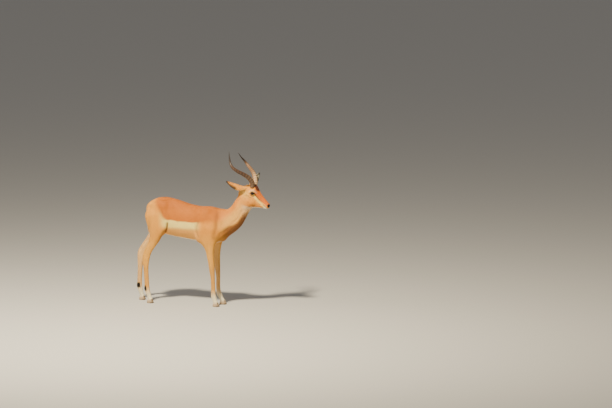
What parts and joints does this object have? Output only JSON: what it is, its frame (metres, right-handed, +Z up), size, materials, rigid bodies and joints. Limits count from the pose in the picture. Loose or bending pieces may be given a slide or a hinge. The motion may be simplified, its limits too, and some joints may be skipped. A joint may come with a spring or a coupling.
{
  "type": "impala antelope",
  "caption": "Life-size still model of a young impala ram, standing alert on slim legs, with ringed lyre horns, large ears, hanging tail and cloven hooves",
  "frame": {"origin": "centre of the bounding box, on the plane of the hoof soles", "axes": "+X the way the animal faces, +Y its left side, +Z up"},
  "size_m": [1.2871, 0.3689, 1.3626],
  "materials": {
    "coat": "short matt hair, orange-brown saddle, fawn sides, white belly",
    "horn": "satin dark horn with ridges",
    "eye": "wet gloss, near black",
    "hoof": "satin black horn"
  },
  "bodies": {
    "root": {"trunk": "coat", "neck": "coat", "head": "coat", "tail": "coat", "ear_left": "coat", "ear_right": "coat", "foreleg_left": "coat", "foreleg_right": "coat", "hindleg_left": "coat", "hindleg_right": "coat", "horn_left": "horn", "horn_right": "horn", "eye_left": "eye", "eye_right": "eye", "hoof_fore_left_outer": "hoof", "hoof_fore_left_inner": "hoof", "hoof_fore_right_outer": "hoof", "hoof_fore_right_inner": "hoof", "hoof_hind_left_outer": "hoof", "hoof_hind_left_inner": "hoof", "hoof_hind_right_outer": "hoof", "hoof_hind_right_inner": "hoof"}
  },
  "joints": []
}
